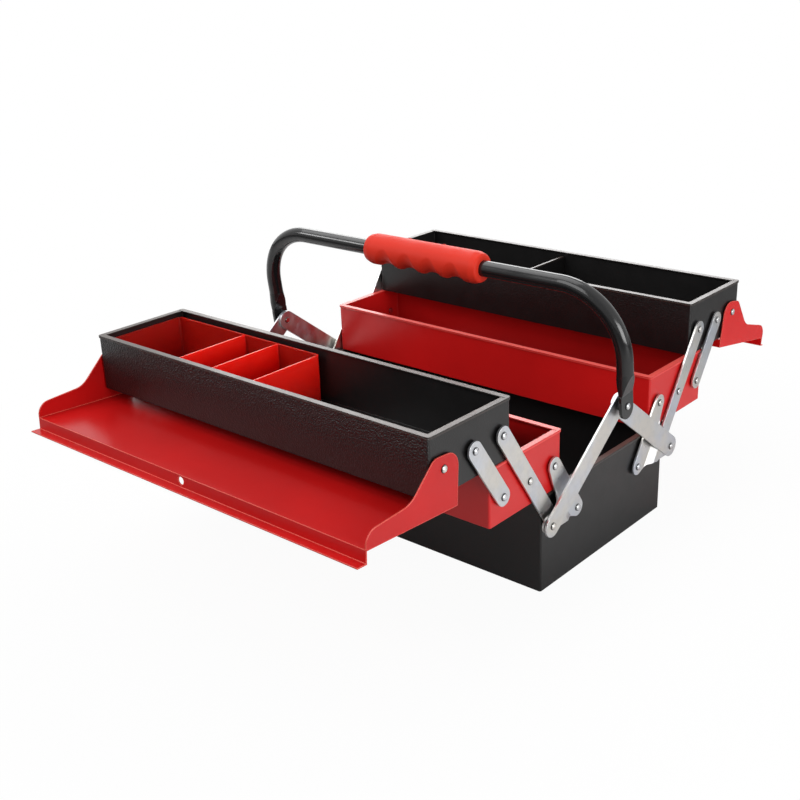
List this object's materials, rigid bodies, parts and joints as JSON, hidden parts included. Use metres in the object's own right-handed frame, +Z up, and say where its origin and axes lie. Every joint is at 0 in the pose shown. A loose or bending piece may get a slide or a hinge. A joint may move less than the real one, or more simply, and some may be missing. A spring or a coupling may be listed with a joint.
{
  "type": "cantilever tool box",
  "caption": "Steel tool box whose trays fan out on riveted links, with hinged lids, a folding tube handle and a removable organiser.",
  "frame": {"origin": "middle of the underside of the base, which stands on the floor", "axes": "+X along the box to its right end, +Y to the back, +Z up; the trays fan out along Y"},
  "size_m": [0.4502, 0.6396, 0.2647],
  "materials": {
    "black_paint": "satin, fine wrinkle on the trays",
    "red_paint": "gloss",
    "zinc": "zinc plated",
    "black_tube": "gloss",
    "grip_plastic": "moulded",
    "organiser_plastic": "moulded"
  },
  "bodies": {
    "base": {"base_shell": "black_paint", "base_rivets": "zinc"},
    "back_crank": {"back_cranks": "zinc", "back_arm_rivets": "zinc"},
    "back_mid_tray_body": {"back_mid_tray": "red_paint", "back_mid_rivets": "zinc"},
    "back_long_link": {"back_long_links": "zinc"},
    "back_top_tray_body": {"back_top_tray": "black_paint", "back_top_rivets": "zinc", "back_divider": "black_paint"},
    "back_short_link": {"back_short_links": "zinc"},
    "back_handle_link": {"back_handle_links": "zinc", "back_link_studs": "zinc"},
    "back_lid_body": {"back_lid": "red_paint"},
    "front_crank": {"front_cranks": "zinc", "front_arm_rivets": "zinc"},
    "front_mid_tray_body": {"front_mid_tray": "red_paint", "front_mid_rivets": "zinc"},
    "front_long_link": {"front_long_links": "zinc"},
    "front_top_tray_body": {"front_top_tray": "black_paint", "front_top_rivets": "zinc", "organiser": "organiser_plastic"},
    "front_short_link": {"front_short_links": "zinc"},
    "front_handle_link": {"front_handle_links": "zinc"},
    "front_lid_body": {"front_lid": "red_paint"},
    "handle_pins": {"handle_rivets": "zinc"},
    "handle": {"handle_tube": "black_tube", "handle_grip": "grip_plastic"}
  },
  "joints": [
    {"name": "back_crank_swing", "type": "hinge", "parent": "base", "child": "back_crank", "pos_m": [0, 0.0515, 0.063], "axis": [1, 0, 0], "range_deg": [0, 68.37]},
    {"name": "back_long_link_swing", "type": "hinge", "parent": "base", "child": "back_long_link", "pos_m": [0, 0.0875, 0.063], "axis": [1, 0, 0], "range_deg": [0, 68.38]},
    {"name": "back_mid_tray_pivot", "type": "hinge", "parent": "back_crank", "child": "back_mid_tray_body", "pos_m": [0, 0.0875, 0.116], "axis": [1, 0, 0], "range_deg": [-68.38, 0]},
    {"name": "back_top_tray_pivot", "type": "hinge", "parent": "back_long_link", "child": "back_top_tray_body", "pos_m": [0, 0.1595, 0.169], "axis": [1, 0, 0], "range_deg": [-68.38, 0]},
    {"name": "back_short_link_swing", "type": "hinge", "parent": "back_mid_tray_body", "child": "back_short_link", "pos_m": [0, 0.1595, 0.116], "axis": [1, 0, 0], "range_deg": [0, 68.38]},
    {"name": "back_lid_hinge", "type": "hinge", "parent": "back_top_tray_body", "child": "back_lid_body", "pos_m": [0, 0.2315, 0.1675], "axis": [1, 0, 0], "range_deg": [0, 190.01]},
    {"name": "back_handle_link_swing", "type": "hinge", "parent": "back_crank", "child": "back_handle_link", "pos_m": [0, 0.1015, 0.068], "axis": [1, 0, 0], "range_deg": [-90.37, 0]},
    {"name": "front_crank_swing", "type": "hinge", "parent": "base", "child": "front_crank", "pos_m": [0, -0.0515, 0.063], "axis": [-1, 0, 0], "range_deg": [0, 68.38]},
    {"name": "front_long_link_swing", "type": "hinge", "parent": "base", "child": "front_long_link", "pos_m": [0, -0.0875, 0.063], "axis": [-1, 0, 0], "range_deg": [0, 68.38]},
    {"name": "front_mid_tray_pivot", "type": "hinge", "parent": "front_crank", "child": "front_mid_tray_body", "pos_m": [0, -0.0875, 0.116], "axis": [-1, 0, 0], "range_deg": [-68.38, 0]},
    {"name": "front_top_tray_pivot", "type": "hinge", "parent": "front_long_link", "child": "front_top_tray_body", "pos_m": [0, -0.1595, 0.169], "axis": [-1, 0, 0], "range_deg": [-68.38, 0]},
    {"name": "front_short_link_swing", "type": "hinge", "parent": "front_mid_tray_body", "child": "front_short_link", "pos_m": [0, -0.1595, 0.116], "axis": [-1, 0, 0], "range_deg": [0, 68.38]},
    {"name": "front_lid_hinge", "type": "hinge", "parent": "front_top_tray_body", "child": "front_lid_body", "pos_m": [0, -0.2315, 0.1675], "axis": [-1, 0, 0], "range_deg": [0, 176.76]},
    {"name": "front_handle_link_swing", "type": "hinge", "parent": "front_crank", "child": "front_handle_link", "pos_m": [0, -0.1015, 0.068], "axis": [-1, 0, 0], "range_deg": [-90.37, 0]},
    {"name": "handle_pin_turn", "type": "hinge", "parent": "front_handle_link", "child": "handle_pins", "pos_m": [0, 0, 0.145], "axis": [-1, 0, 0], "range_deg": [0, 22]},
    {"name": "handle_swing", "type": "hinge", "parent": "handle_pins", "child": "handle", "pos_m": [0, 0, 0.145], "axis": [1, 0, 0], "range_deg": [-82, 68]}
  ],
  "couplings": [
    {"joint": "back_long_link_swing", "follows": "back_crank_swing", "ratio": 1},
    {"joint": "back_mid_tray_pivot", "follows": "back_crank_swing", "ratio": -1},
    {"joint": "back_top_tray_pivot", "follows": "back_crank_swing", "ratio": -1},
    {"joint": "back_short_link_swing", "follows": "back_crank_swing", "ratio": 1},
    {"joint": "back_lid_hinge", "follows": "back_crank_swing", "ratio": 2.7789},
    {"joint": "back_handle_link_swing", "follows": "back_crank_swing", "ratio": -1.3217},
    {"joint": "front_crank_swing", "follows": "back_crank_swing", "ratio": 1},
    {"joint": "front_long_link_swing", "follows": "back_crank_swing", "ratio": 1},
    {"joint": "front_mid_tray_pivot", "follows": "back_crank_swing", "ratio": -1},
    {"joint": "front_top_tray_pivot", "follows": "back_crank_swing", "ratio": -1},
    {"joint": "front_short_link_swing", "follows": "back_crank_swing", "ratio": 1},
    {"joint": "front_lid_hinge", "follows": "back_crank_swing", "ratio": 2.5851},
    {"joint": "front_handle_link_swing", "follows": "back_crank_swing", "ratio": -1.3217},
    {"joint": "handle_pin_turn", "follows": "back_crank_swing", "ratio": 0.32165}
  ]
}
